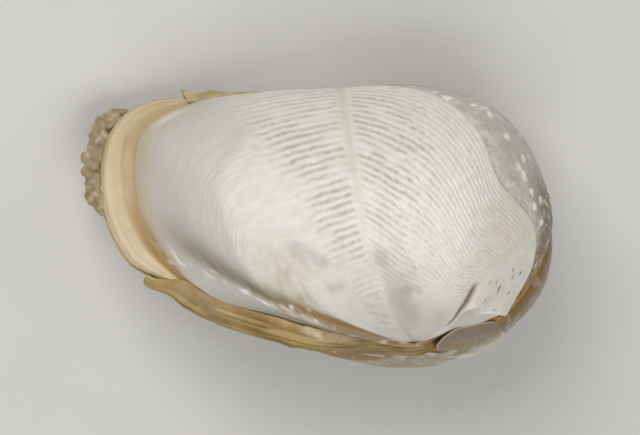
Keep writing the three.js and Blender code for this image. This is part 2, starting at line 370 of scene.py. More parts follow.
def walled_mesh(name, outside, inside, side, wraps, paint, material):
    """Closed mesh between two point grids [column, row]; paint holds values for the outside points."""
    flip = side == RIGHT
    columns, rows = outside.shape[:2]
    inner_rows = inside.shape[1]
    points = np.concatenate([settle(outside, side).reshape(-1, 3), settle(inside, side).reshape(-1, 3)])
    start = columns * rows
    outer_index = np.arange(start).reshape(columns, rows)
    inner_index = start + np.arange(columns * inner_rows).reshape(columns, inner_rows)
    faces = [
        skin_faces(0, columns, rows, wraps, flip),
        skin_faces(start, columns, inner_rows, wraps, not flip),
        strip_faces(outer_index[:, -1], inner_index[:, -1], wraps, flip),
    ]
    if not wraps:
        faces.append(strip_faces(outer_index[:, 0], inner_index[:, 0], wraps, not flip))
        faces.append(strip_faces(inner_index[0], outer_index[0], False, not flip))
        faces.append(strip_faces(outer_index[-1], inner_index[-1], False, not flip))
    polygons = np.concatenate(faces).tolist()
    if wraps:
        order = 1 if flip else -1
        polygons.append(outer_index[::order, 0].tolist())
        polygons.append(inner_index[::-order, 0].tolist())
    values = {}
    for key, value in paint.items():
        painted = np.broadcast_to(value, (columns, rows)).ravel()
        values[key] = np.concatenate([painted, np.zeros(len(points) - start)])
    return make_piece(name, points, polygons, values, material)


def make_piece(name, points, faces, values, material):
    mesh = bpy.data.meshes.new(name)
    mesh.from_pydata(points.tolist(), [], faces)
    for key, value in values.items():
        attribute = mesh.attributes.new(key, "FLOAT", "POINT")
        attribute.data.foreach_set("value", value.astype(np.float32))
    mesh.validate()
    mesh.polygons.foreach_set("use_smooth", np.ones(len(mesh.polygons), bool))
    mesh.materials.append(material)
    piece = bpy.data.objects.new(name, mesh)
    scene.collection.objects.link(piece)
    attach(piece, "root")
    return piece


def spread(*stretches):
    """Values of several stretches, each (start, end, count)."""
    parts = [np.linspace(start, end, count, endpoint=False) for start, end, count in stretches]
    return np.concatenate(parts)


def point_grid(stretch, limits, counts):
    """Station of each column and place across of each row, for a grid of points."""
    station = np.linspace(*stretch, counts[0])[:, None]
    across = np.linspace(*limits, counts[1])[None, :]
    return station, across


# Materials
def linear(red, green, blue):
    """Colour given in 0 to 255 screen values."""
    screen = np.array([red, green, blue]) / 255
    value = np.where(screen <= 0.04045, screen / 12.92, ((screen + 0.055) / 1.055) ** 2.4)
    return (*value.tolist(), 1.0)


CHALK = linear(232, 229, 219)
CHALK_SHADE = linear(223, 219, 208)
GREY = linear(198, 193, 183)
GAP = linear(176, 173, 163)
LINE = linear(180, 175, 167)
TAN = linear(186, 163, 126)
# Olive laid on as painted shade in the trough, the pocket and under the flap, and as stain on the film and
# the underneath valve
OLIVE_SHADE_AND_STAIN = linear(127, 115, 89)
OCHRE = linear(150, 112, 48)
# Brown of the pits, also laid on as painted shade in the pocket beside the flap
PIT_AND_SHADE_BROWN = linear(84, 56, 34)
# White of the chips, also laid on as a painted highlight
CHIP_AND_HIGHLIGHT_WHITE = linear(244, 243, 236)
HORN = linear(184, 178, 168)
HORN_PALE = linear(204, 200, 191)
HORN_STAIN = linear(150, 134, 98)
HORN_RIM = linear(124, 100, 70)
FLECK = linear(240, 239, 232)
CREAM = linear(192, 172, 134)
CREAM_PALE = linear(198, 180, 146)
CREAM_STREAK = linear(174, 146, 98)
CREAM_EDGE = linear(216, 202, 168)
STRIP = linear(144, 118, 58)
STRIP_DARK = linear(108, 82, 40)
STRIP_PALE = linear(172, 150, 98)
FIBRE = linear(180, 156, 100)
FILM_DULL = linear(172, 150, 110)
FILM_PALE = linear(208, 192, 158)
PLATE = linear(132, 115, 97)
PLATE_PALE = linear(146, 130, 112)
PLATE_RIM = linear(206, 192, 160)
SKIN = linear(168, 120, 44)
SKIN_PALE = linear(188, 144, 70)
SKIN_SHADOW = linear(52, 32, 15)
FLESH = linear(152, 136, 106)
FLESH_DULL = linear(150, 133, 103)
FLESH_HIGHLIGHT = linear(196, 181, 152)
FLOOR = linear(206, 204, 200)
FLOOR_PALE = linear(211, 209, 205)
WHITE = (1.0, 1.0, 1.0, 1.0)


class Paint:
    """Small helper that wires one material's nodes from left to right."""

    def __init__(self, name):
        self.material = bpy.data.materials.new(name)
        self.material.use_nodes = True
        self.tree = self.material.node_tree
        self.shader = self.tree.nodes["Principled BSDF"]

    def node(self, kind, **settings):
        made = self.tree.nodes.new(kind)
        for key, value in settings.items():
            setattr(made, key, value)
        return made

    def link(self, source, target):
        self.tree.links.new(source, target)

    def value(self, key):
        return self.node("ShaderNodeAttribute", attribute_name=key).outputs["Fac"]

    def noise(self, scale, detail=4.0, place=None):
        place = place or self.node("ShaderNodeTexCoord").outputs["Object"]
        made = self.node("ShaderNodeTexNoise")
        made.inputs["Scale"].default_value = scale
        made.inputs["Detail"].default_value = detail
        self.link(place, made.inputs["Vector"])
        return made.outputs["Fac"]

    def vector(self, first, second):
        made = self.node("ShaderNodeCombineXYZ")
        self.link(first, made.inputs["X"])
        self.link(second, made.inputs["Y"])
        return made.outputs["Vector"]

    def fit(self, source, low, high, start, end):
        made = self.node("ShaderNodeMapRange")
        for key, number in zip(("From Min", "From Max", "To Min", "To Max"), (low, high, start, end)):
            made.inputs[key].default_value = number
        self.link(source, made.inputs["Value"])
        return made.outputs["Result"]

    def mottle(self, scale, detail=4.0, low=0.35, high=0.65):
        """Noise stretched to run from 0 to 1 between two of its values."""
        return self.fit(self.noise(scale, detail), low, high, 0.0, 1.0)

    def rough(self, low, high, scale=900):
        """Roughness that wanders between two values."""
        return self.fit(self.noise(scale), 0.3, 0.7, low, high)

    def layers(self, colour, **stains):
        """Colour under stains, painted shade and painted highlights, each laid on by the paint value of its
        name.
        """
        for key, stain in stains.items():
            colour = self.mix(self.value(key), colour, stain)
        return colour

    def maths(self, operation, first, second):
        made = self.node("ShaderNodeMath", operation=operation)
        for source, target in zip((first, second), made.inputs):
            if isinstance(source, (int, float)):
                target.default_value = source
            else:
                self.link(source, target)
        return made.outputs["Value"]

    def mix(self, share, first, second):
        made = self.node("ShaderNodeMix", data_type="RGBA")
        for source, target in ((share, made.inputs[0]), (first, made.inputs[6]), (second, made.inputs[7])):
            if isinstance(source, (tuple, int, float)):
                target.default_value = source
            else:
                self.link(source, target)
        return made.outputs[2]

    def finish(self, colour, roughness, height=None, distance=0.05 * MM, strength=0.5):
        self.link(colour, self.shader.inputs["Base Color"])
        self.link(roughness, self.shader.inputs["Roughness"])
        if height is not None:
            bump = self.node("ShaderNodeBump")
            bump.inputs["Strength"].default_value = strength
            bump.inputs["Distance"].default_value = distance
            self.link(height, bump.inputs["Height"])
            self.link(bump.outputs["Normal"], self.shader.inputs["Normal"])
        return self.material

    def glow_through(self, weight, radius):
        self.shader.inputs["Subsurface Weight"].default_value = weight
        self.shader.inputs["Subsurface Radius"].default_value = (1.0, 0.85, 0.65)
        self.shader.inputs["Subsurface Scale"].default_value = radius


def gap_strength(paint, station, beads):
    """Grey of the gaps between ridges: nearly solid behind, broken into beads in front."""
    solid = paint.fit(station, 10.4, 11.4, 0.6, 0.1)
    dotted = paint.maths("MULTIPLY", beads, paint.maths("SUBTRACT", 1.0, solid))
    return paint.maths("MULTIPLY", paint.value("gap"), paint.maths("ADD", solid, dotted))


def valve_material():
    paint = Paint("valve")
    station = paint.value("station")
    phase = paint.value("phase")
    around = paint.maths("MULTIPLY", station, BEADS_PER_STATION)
    beads = paint.fit(paint.noise(1.0, 2.0, paint.vector(around, phase)), 0.36, 0.62, 0.0, 1.0)
    rings = paint.maths("MULTIPLY", phase, RINGS_PER_RIDGE)
    lines = paint.fit(paint.noise(1.0, 3.0, paint.vector(station, rings)), 0.35, 0.65, 0.0, 1.0)
    lines = paint.maths("MULTIPLY", lines, paint.value("lined"))
    colour = paint.mix(paint.mottle(900, detail=6.0), CHALK, CHALK_SHADE)
    colour = paint.mix(paint.value("grey"), colour, GREY)
    colour = paint.mix(lines, colour, paint.mix(LINE_SHARE, colour, LINE))
    colour = paint.mix(gap_strength(paint, station, beads), colour, GAP)
    # Stains over the chalk; the olive, tan and brown layers also carry painted shade in the trough, the
    # pocket and under the flap, and the white layer a painted highlight
    colour = paint.layers(colour, tan=TAN, dim=OLIVE_SHADE_AND_STAIN, ochre=OCHRE, pit=PIT_AND_SHADE_BROWN, chip=CHIP_AND_HIGHLIGHT_WHITE)
    rough = paint.fit(paint.value("grey"), 0.0, 1.0, 0.55, 0.38)
    paint.glow_through(weight=0.12, radius=0.8 * MM)
    knobs = paint.maths("MULTIPLY", beads, paint.value("ridged"))
    height = paint.maths("ADD", paint.maths("ADD", knobs, lines), paint.noise(2600, 6.0))
    return paint.finish(colour, rough, height, distance=0.03 * MM, strength=0.4)


def callum_material():
    paint = Paint("callum")
    colour = paint.mix(paint.mottle(900, detail=8.0, low=0.38, high=0.64), HORN, HORN_PALE)
    colour = paint.layers(colour, stain=HORN_STAIN, rim=HORN_RIM, ochre=OCHRE, fleck=FLECK)
    paint.glow_through(weight=0.25, radius=1.0 * MM)
    rough = paint.rough(0.28, 0.42)
    return paint.finish(colour, rough, paint.noise(1500), distance=0.04 * MM, strength=0.3)


def collar_material():
    paint = Paint("collar")
    colour = paint.mix(paint.mottle(420, high=0.7), CREAM, CREAM_PALE)
    colour = paint.layers(colour, streak=CREAM_STREAK, ochre=OCHRE, edge=CREAM_EDGE)
    paint.glow_through(weight=0.2, radius=0.8 * MM)
    rough = paint.rough(0.38, 0.52)
    return paint.finish(colour, rough, paint.noise(1400), distance=0.05 * MM, strength=0.4)


def strip_material():
    paint = Paint("seam_strip")
    colour = paint.mix(paint.mottle(420, detail=6.0), STRIP, STRIP_DARK)
    milky = paint.mix(paint.mottle(800, low=0.4), FILM_DULL, FILM_PALE)
    colour = paint.layers(colour, pale=STRIP_PALE, streak=FIBRE, ochre=OCHRE, film=milky)
    paint.glow_through(weight=0.2, radius=0.6 * MM)
    rough = paint.rough(0.35, 0.55)
    return paint.finish(colour, rough, paint.noise(1600, 6.0), distance=0.06 * MM, strength=0.5)


def plate_material():
    paint = Paint("beak_plate")
    colour = paint.mix(paint.mottle(600, high=0.7), PLATE, PLATE_PALE)
    colour = paint.layers(colour, rim=PLATE_RIM)
    paint.glow_through(weight=0.25, radius=0.6 * MM)
    rough = paint.rough(0.3, 0.45)
    return paint.finish(colour, rough, paint.noise(1500), distance=0.04 * MM, strength=0.35)


def membrane_material():
    paint = Paint("membrane")
    colour = paint.mix(paint.mottle(480), SKIN, SKIN_PALE)
    # Dark brown painted shadow on the membrane
    colour = paint.layers(colour, dim=SKIN_SHADOW)
    paint.glow_through(weight=0.15, radius=0.5 * MM)
    rough = paint.rough(0.3, 0.5, scale=700)
    return paint.finish(colour, rough, paint.noise(1500), distance=0.05 * MM, strength=0.4)


def siphon_material():
    paint = Paint("siphon")
    colour = paint.mix(paint.mottle(650, detail=6.0), FLESH, FLESH_DULL)
    # Painted highlights: pale patches on the knobs, laid on by noise
    frill_highlight = paint.fit(paint.noise(1100, 3.0), 0.48, 0.72, 0.0, 0.8)
    colour = paint.mix(frill_highlight, colour, FLESH_HIGHLIGHT)
    paint.glow_through(weight=0.6, radius=1.2 * MM)
    rough = paint.rough(0.6, 0.85)
    return paint.finish(colour, rough, paint.noise(2600, 6.0), distance=0.05 * MM, strength=0.4)


def floor_material():
    paint = Paint("floor")
    colour = paint.mix(paint.mottle(60, low=0.3, high=0.7), FLOOR, FLOOR_PALE)
    return paint.finish(colour, paint.rough(0.75, 0.85, scale=90))


# Valves: a share runs from 0 at the beak to 1 at the edge of the ridged disc
# Lines on the disc, each point (share, station)
FREE_EDGE = [(0.44, 16.3), (0.58, 17.3), (0.705, 18.13), (0.865, 18.42), (1.0, 18.54)]
TROUGH = [(0.15, 6.0), (0.37, 4.95), (0.57, 4.0), (0.75, 4.24), (0.9, 4.55)]
POCKET = [(0.34, 16.07), (0.41, 15.71), (0.48, 15.62), (0.56, 15.44)]
FAN_HIND_END = [(0.3, 8.9), (0.5, 9.05), (0.64, 9.0), (0.69, 8.65), (0.82, 8.55), (0.92, 8.2), (1.0, 8.0)]
# Lines round the disc, each point (station, share)
FAN_START = [(9.0, 0.38), (10.0, 0.36), (10.5, 0.31), (12.0, 0.34), (14.0, 0.42), (15.5, 0.38)]
FILM_END = [(1.5, 1.0), (1.9, 0.87), (2.4, 0.76), (2.9, 0.68), (3.3, 0.62), (4.2, 0.55)]
# How far ridge lines bend towards the beak in front of the furrow, each point (station, share)
INNER_BEND = [(10, 0), (11, 0.033), (12, 0.026), (13, 0)]
OUTER_BEND = [(10, 0), (11, 0.011), (12, 0.029), (13, 0.063), (14, 0.036), (15, 0)]
# How grey the gaps between ridges are: behind and in front over the share, and in front over the station
HIND_GAPS = [(0.36, 0.6), (0.5, 1.0), (0.72, 1.0), (0.9, 0.8), (1.0, 0.3)]
FRONT_GAPS = [(0.3, 0.4), (0.42, 0.9), (0.9, 0.9), (1.0, 0.35)]
FRONT_GAPS_ROUND = [(10.06, 0.0), (10.16, 1.0), (10.7, 0.95), (11.2, 0.75), (12.2, 0.6), (13.5, 0.5)]
# How strong the painted shade in the trough is over the share
TROUGH_SHADE = [(0.5, 0.6), (0.62, 1.0), (0.8, 0.8), (0.95, 0.2)]
# Shares of the disc between which the film beside the hinge thins out
FILM_THINS = (0.28, 0.45)
# Soft patches: place and size, each (station, share), and strength
GAP_PATCHES = [((11.25, 0.785), (0.45, 0.06), 0.7), ((11.1, 0.64), (0.35, 0.05), 0.7)]
WORN_PATCHES = [((7.96, 0.476), (0.5, 0.035), 1.0), ((8.46, 0.43), (0.4, 0.03), 1.0),
                ((10.4, 0.425), (0.3, 0.03), 1.0), ((8.1, 0.35), (0.7, 0.03), 0.7),
                ((11.6, 0.345), (0.6, 0.04), 0.8)]
WARM_PATCHES = [((6.4, 0.45), (1.3, 0.1), 1.0), ((5.6, 0.36), (0.9, 0.08), 1.0)]
# Brown pits on the flap and white chips beside the trough, each (station, share)
PITS = [(17.11, 0.737), (17.2, 0.738), (17.28, 0.738), (17.03, 0.607), (16.27, 0.64), (16.69, 0.691),
        (17.13, 0.841), (16.85, 0.827), (17.14, 0.904), (17.6, 0.88), (18.08, 0.828)]
PIT_SIZE = (0.05, 0.008)
CHIPS = [(3.74, 0.705), (3.55, 0.64), (3.4, 0.535), (2.93, 0.395)]
CHIP_SIZE = (0.1, 0.02)
CRUMB_SIZE = 0.55 * MM


def fold_station(share):
    return 15.4 + 2.4 * (share - 0.57)


def hind_boundary(station):
    """Share at which the chalky disc gives way to the grey hind end."""
    return 0.605 + 0.053 * (station - 5.2)


def ridge_phase(share, station):
    """Count of ridges out from the beak; their lines bend at the furrow and in front of it."""
    chevron = 0.027 * np.clip((FURROW_STATION - station) / 1.3, 0, 1)
    inner = trace(station, INNER_BEND) * fade(share, 0.4, 0.8)
    outer = trace(station, OUTER_BEND) * fade(share, 0.65, 1.0)
    wobble = 0.002 * flat_field(station * 2.2, share * 40, seed=3)
    wobble = wobble + 0.0018 * flat_field(station * 8, share * 55, seed=4)
    return (share + chevron + inner + outer + wobble) / RIDGE_STEP


def ridge_zone(share, station):
    """Where the disc carries ridges: the ridged fan and a few short ridges behind the beak."""
    hind_end = trace(share, FAN_HIND_END) + 0.22 * flat_field(station * 3.1, share * 60, seed=5)
    start = trace(station, FAN_START)
    fold = fold_station(share)
    fan = band(station, (hind_end - 0.35, hind_end + 0.35), (fold - 0.1, fold + 0.25))
    fan = fan * ramp(share, start, start + 0.07)
    short = band(station, (8.9, 9.4), (10.0, 10.2)) * band(share, (0.1, 0.15), (0.32, 0.42))
    return np.maximum(fan, short)


def gap_zone(share, station):
    hind = band(station, (8.1, 8.8), (9.84, 9.94)) * trace(share, HIND_GAPS)
    front = trace(station, FRONT_GAPS_ROUND) * trace(share, FRONT_GAPS)
    return np.clip(hind + front + spots(share, station, GAP_PATCHES), 0, 1)


def furrow_zone(share, station):
    """Furrow from the beak to the lower edge, faint near the beak."""
    depth = ramp(share, 0.3, 0.45) * (0.3 + 0.7 * ramp(share, 0.5, 0.68))
    return hump(station, FURROW_STATION, FURROW_WIDTH) * depth


def flap_zone(share, station):
    """Where the reflected flap lies and how far across it each point is."""
    fold = fold_station(share)
    edge = trace(share, FREE_EDGE)
    zone = band(station, (fold - 0.1, fold + 0.7), (edge - 0.1, edge + 0.1)) * ramp(share, 0.38, 0.52)
    return zone, np.clip((station - fold) / (edge - fold), 0, 1)


def pocket_zone(share, station):
    """Groove at the hind end of the flap."""
    return bell(station - trace(share, POCKET), 0.25) * band(share, (0.25, 0.34), (0.53, 0.6))


def under_flap_zone(share, station):
    """Sunken strip under the flap's free edge."""
    edge = trace(share, FREE_EDGE)
    return band(station, (edge - 0.02, edge + 0.5), (19.0, 19.6)) * ramp(share, 0.3, 0.45)


def trough_zone(share, away):
    """Long hollow along the hinge side: soft towards the disc, steep towards the margin."""
    width = np.where(away > 0, 0.62, 0.34)
    return bell(away, width) * band(share, (0.3, 0.55), (0.88, 1.0))


def film_zone(share, station, away, mottle):
    """Torn film between the trough and the hinge."""
    end = trace(station, FILM_END)
    film = fade(away - 0.5 * fade(share, 0.2, 0.4), -0.15, 0.4)
    film = film * fade(share + 0.03 * mottle, end - 0.08, end + 0.05) * ramp(share, 0.05, 0.12)
    return film * fade(station, 7, 8) * (0.85 + 0.3 * mottle)


def stained_zone(share, station):
    """Hinge side and beak of the valve that lies underneath."""
    hinge_side = np.maximum(fade(station, 1.5, 3.5), ramp(station, 16.0, 17.5))
    return np.maximum(hinge_side, fade(share, 0.2, 0.45))


class Zones:
    """Features of one valve's outside, at each point of its grid."""

    def __init__(self, share, station, stain):
        share, station = np.broadcast_arrays(share, station)
        self.share = share
        self.station = station
        self.mottle = flat_field(station * 3.1, share * 40, seed=5)
        self.coarse = flat_field(station * 1.3, share * 9, seed=6)
        self.phase = ridge_phase(share, station)
        self.crest = 0.5 + 0.5 * np.cos(2 * np.pi * self.phase)
        self.ridged = ridge_zone(share, station)
        self.furrow = furrow_zone(share, station)
        self.flap, self.across_flap = flap_zone(share, station)
        self.pocket = pocket_zone(share, station)
        self.under_flap = under_flap_zone(share, station)
        self.past_trough = station - trace(share, TROUGH)
        self.trough = trough_zone(share, self.past_trough)
        self.stain_line = bell(self.past_trough, 0.5) * band(share, (0.1, 0.2), (0.48, 0.62))
        self.film = film_zone(share, station, self.past_trough, self.mottle)
        self.hinge_line = np.maximum(fade(station, 0.6, 1.6), ramp(station, 19.8, 20.3))
        self.stained = stain * stained_zone(share, station)

    def film_share(self, thick, thin):
        """Film of one strength that thins out to another."""
        return self.film * np.interp(self.share, FILM_THINS, (thick, thin))

    def spot(self, place, size):
        return spot(self.share, self.station, place, size)


def valve_relief(zones):
    """Height of a valve's outside above its smooth surface."""
    fineness = 1 - 0.5 * ramp(zones.station, 12.2, 15.0)
    height = RIDGE_HEIGHT * zones.crest * zones.ridged * fineness * (1 - 0.8 * zones.furrow)
    height = height - FURROW_DEPTH * zones.furrow - TROUGH_DEPTH * zones.trough
    height = height + FLAP_HEIGHT * zones.flap * zones.across_flap ** 1.3
    height = height - POCKET_DEPTH * np.maximum(zones.pocket, 0.4 * zones.under_flap)
    return height * (1 - ramp(zones.share, 0.985, 1.0) * (1 - zones.flap))


def grey_look(zones):
    """Horny grey parts: hind end, flange, beak and worn patches."""
    share, station = zones.share, zones.station
    boundary = hind_boundary(station) + 0.006 * zones.mottle
    hind = 0.6 * ramp(share, boundary - 0.015, boundary + 0.03)
    hind = hind + 0.45 * ramp(share, boundary + 0.05, boundary + 0.28)
    hind = hind * fade(station, 8.0, 9.4)
    flange = 0.3 * fade(zones.past_trough, -0.35, 0.0) * ramp(share, 0.35, 0.5)
    beak = (0.35 + 0.3 * ramp(station, 10.0, 10.6)) * fade(share, 0.24, 0.5)
    beak = beak * band(station, (6.5, 8.5), (15.0, 16.5))
    beak = beak + 0.4 * zones.spot((10.9, 0.33), (0.8, 0.09))
    worn = spots(share, station, WORN_PATCHES) + 0.3 * zones.mottle + 0.2 * zones.coarse
    worn = 0.7 * ramp(worn, 0.15, 0.95) * fade(share, 0.5, 0.56)
    return hind + flange + beak * (1 + 0.5 * zones.coarse) + worn


def gap_look(zones):
    """Grey gaps between the ridges, in broken streaks."""
    streaks = 0.25 + 0.75 * ramp(flat_field(zones.station * 3.4, zones.phase, seed=8), -0.6, 0.25)
    gap = (1 - zones.crest) ** 1.3 * zones.ridged * gap_zone(zones.share, zones.station)
    return gap * (1 - zones.furrow) * streaks * fade(zones.share, 0.965, 0.985)


def tan_look(zones):
    """Tan stains: film, edges, furrow, flap and warm patches; tan painted shade in the pocket beside the
    flap.
    """
    share, station = zones.share, zones.station
    hind_edge = ramp(share, 0.9, 0.985) * band(station, (3.2, 4.0), (7.4, 8.4))
    beside_fold = band(station, (12.8, 15.2), (15.8, 16.6)) * ramp(share, 0.45, 0.8)
    tan = zones.film_share(0.9, 0.5) + 0.55 * hind_edge + 0.28 * zones.furrow + 0.22 * beside_fold
    tan = tan + 0.55 * zones.stain_line + 0.12 * zones.flap + 0.4 * zones.pocket
    tan = tan + zones.stained * (0.6 + 0.3 * zones.coarse) + 0.4 * zones.hinge_line
    return tan + (0.3 + 0.2 * zones.mottle) * spots(share, station, WARM_PATCHES)


def dim_look(zones):
    """Olive: painted shade in the trough, the pocket and under the flap; olive stain on the film and the
    underneath valve; darker by the beak.
    """
    dim = zones.trough * (0.95 + 0.15 * zones.mottle) * trace(zones.share, TROUGH_SHADE)
    dim = dim + 0.85 * zones.pocket + 0.22 * zones.under_flap + 0.5 * zones.stained
    beak = zones.spot((11.1, 0.31), (0.9, 0.09)) * ramp(zones.station, 10.0, 10.4)
    return dim + zones.film_share(0.4, 0.1) + (0.22 + 0.12 * zones.mottle) * beak


def ochre_look(zones):
    """Ochre edges: beside the hinge strip, the beak plate and the collar."""
    share, station = zones.share, zones.station
    ochre = 0.8 * ramp(share, 0.955, 0.985) * band(station, (0.3, 1.0), (4.3, 5.3))
    ochre = ochre + 0.7 * ramp(share, 0.55, 0.9) * band(station, (19.2, 19.7), (20.8, 21.0))
    ochre = ochre + 0.1 * ramp(share, 0.985, 0.998) * band(station, (4, 5), (7, 8))
    ochre = ochre + 0.4 * zones.stain_line + zones.film_share(0.55, 0.15)
    return ochre + 0.4 * zones.hinge_line * (1 + 0.6 * zones.mottle)


def pit_look(zones):
    pits = sum(zones.spot(place, PIT_SIZE) for place in PITS)
    # Brown pits on the flap, and brown painted shade in the pocket
    return 0.9 * pits + 0.28 * zones.pocket


def chip_look(zones):
    """White chips, crumbs of film, the flap's pale edge and a painted highlight on the hind end by the
    collar.
    """
    share, station = zones.share, zones.station
    chips = sum(zones.spot(place, CHIP_SIZE) for place in CHIPS)
    # Painted highlight: a soft white streak on the hind end beside the collar
    chips = chips + 0.5 * zones.spot((7.45, 0.962), (0.35, 0.014))
    crumbs = flat_field(station * 8, share * 45, seed=12)
    chips = chips + 0.75 * ramp(crumbs, -0.1, 0.3) * zones.spot((3.75, 0.45), (0.55, 0.06))
    flange = bell(zones.past_trough + 0.42, 0.25) * ramp(share, 0.45, 0.55)
    chips = chips + 0.55 * ramp(crumbs, 0.3, 0.6) * flange
    patches = ramp(field(surface(share * disc_share(station), station) / CRUMB_SIZE, seed=14), 0.38, 0.65)
    chips = chips + patches * (0.3 * zones.stained + 0.9 * zones.film * ramp(share, 0.25, 0.4))
    pale_edge = np.maximum(ramp(zones.across_flap, 0.86, 0.97), ramp(share, 0.95, 1.0))
    return chips + 0.5 * zones.flap * pale_edge


def lined_look(zones):
    """Growth lines away from the ridges, strongest on the grey hind end."""
    share, station = zones.share, zones.station
    boundary = hind_boundary(station)
    lined = (1 - zones.ridged) * (1 - zones.flap) * ramp(share, 0.25, 0.45)
    lined = lined * (1 - 0.6 * ramp(station, 10, 12))
    return lined * (0.35 + 0.65 * ramp(share, boundary - 0.1, boundary))


def valve_paint(zones):
    looks = {"grey": grey_look, "gap": gap_look, "tan": tan_look, "dim": dim_look, "ochre": ochre_look,
             "pit": pit_look, "chip": chip_look, "lined": lined_look}
    paint = {key: np.clip(look(zones), 0, 1) for key, look in looks.items()}
    return {**paint, "ridged": zones.ridged, "phase": zones.phase, "station": zones.station}


def add_valve(name, side, stain, material):
    station = spread(*VALVE_COLUMNS)[:, None]
    share = np.append(spread(*VALVE_ROWS), 1.0)[None, :]
    growth = share * disc_share(station)
    zones = Zones(share, station, stain)
    outside = surface(growth, station) + surface_normal(growth, station) * valve_relief(zones)[..., None]
    inner_growth = np.linspace(*VALVE_INNER_ROWS)[None, :] * disc_share(station)
    inside = inward(surface(inner_growth, station), INSIDE_SCALE)
    piece = walled_mesh(name + "_shell", outside, inside, side, True, valve_paint(zones), material)
    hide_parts(name)


# Front plates: white flecks, each (station, growth)
FLECKS = [(13.71, 0.868), (14.41, 0.874), (14.43, 0.831), (14.71, 0.835), (15.13, 0.841), (15.45, 0.878),
          (15.51, 0.835), (15.98, 0.864), (12.69, 0.896), (13.08, 0.894), (12.12, 0.898)]
FLECK_SIZE = (0.12, 0.015)


def fleck_zone(growth, station):
    flecks = sum(spot(growth, station, place, FLECK_SIZE) for place in FLECKS)
    return ramp(flecks + 0.4 * flat_field(station * 13, growth * 120, seed=21), 0.35, 0.8)


def callum_paint(growth, station, part, stain):
    specks = 0.7 * ramp(flat_field(station * 9, growth * 90, seed=22), 0.4, 0.65) * ramp(growth, 0.86, 0.92)
    frost = 0.35 * ramp(flat_field(station * 11, growth * 120, seed=23), -0.3, 0.6) * fade(part, 0.15, 0.4)
    white = fleck_zone(growth, station) + specks + frost
    rim = 0.9 * ramp(growth, 0.82, 0.9) * ramp(station, 14.4, 15.6) + 0.5 * ramp(growth, 0.93, 0.98)
    return {
        "fleck": np.clip(white * (1 - stain), 0, 1),
        "rim": rim * (1 - 0.95 * stain),
        "ochre": stain * ramp(growth, 0.98, 0.997) * ramp(station, 15.2, 16.2),
        "stain": stain,
    }


def add_callum(name, side, stain, swelling, material):
    station, part = point_grid(CALLUM_STRETCH, (0, 1), CALLUM_GRID)
    start = disc_share(station) - CALLUM_OVERLAP
    growth = start + (1 - start) * part
    swell = swelling * hump(station, *SWELLING_PLACE) * ramp(growth, 0.8, 0.95)
    push = beside_margin(station, swell, 0.0) - beside_margin(station, 0.0, 0.0)
    sunk = CALLUM_TUCK * fade(part, 0.0, 0.35) - FLECK_HEIGHT * fleck_zone(growth, station)
    smooth = surface(growth, station)
    outside = inward(smooth, CALLUM_OUTSIDE) - surface_normal(growth, station) * sunk[..., None] + push
    inside = inward(smooth, CALLUM_INSIDE) + push
    paint = callum_paint(growth, station, part, stain)
    piece = walled_mesh(name + "_plate", outside, inside, side, False, paint, material)
    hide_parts(name)


# Collars, seam strips and skin
def collar_paint(station, out):
    streak = 0.6 * ramp(flat_field(out * 9, station * 0.8, seed=32), 0.0, 0.7) + 0.4 * fade(out, 0.2, 0.45)
    ochre = bell(out - 0.16, 0.1) * (1 - 0.9 * ramp(station, 4.6, 6.0)) + 0.2 * ramp(out, 0.9, 1.0)
    edge = 0.7 * fade(station, 3.6, 3.9) * ramp(out, 0.3, 0.6)
    edge = edge + 0.35 * spot(out, station, (5.5, 0.75), (2.5, 0.12))
    return {"streak": streak, "ochre": ochre, "edge": np.clip(edge, 0, 1)}


def add_collar(name, side, material):
    """Plate that grows out of the valve's hind edge and bends in to the seam."""
    station, out = point_grid(COLLAR_STRETCH, (0, 1), COLLAR_GRID)
    opening = COLLAR_START_WIDTH + COLLAR_WIDTH * (station - COLLAR_STRETCH[0])
    width = np.minimum(opening, COLLAR_WIDTH - COLLAR_NARROWING * (station - COLLAR_MIDDLE) ** 2)
    place = (width + COLLAR_LIP * fade(station, 7.4, 8.1)) * out - COLLAR_OVERLAP
    root = seam_lift(station) - COLLAR_ROOT_DROP
    mouth = SEAM_HALF + COLLAR_MOUTH * hump(station, *COLLAR_MOUTH_PLACE)
    under = root + (mouth - root) * out ** 2
    wall = COLLAR_THICKNESS * ramp(out, -0.1, 0.35) * (1 - 0.5 * ramp(out, 0.8, 1.0))
    top = under + wall + COLLAR_WAVE * flat_field(station * 3, out * 3, seed=31)
    seat = surface(COLLAR_SEAT, station) - COLLAR_SINK * surface_normal(COLLAR_SEAT, station)
    grown = fade(out, 0, 0.3)[..., None]
    outside = beside_margin(station, place, top) * (1 - grown) + seat * grown
    inside = beside_margin(station, place, under)
    paint = collar_paint(station, out)
    piece = walled_mesh(name + "_collar", outside, inside, side, False, paint, material)
    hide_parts(name)


def nowhere(along):
    return 0.0


def everywhere(along):
    return 1.0


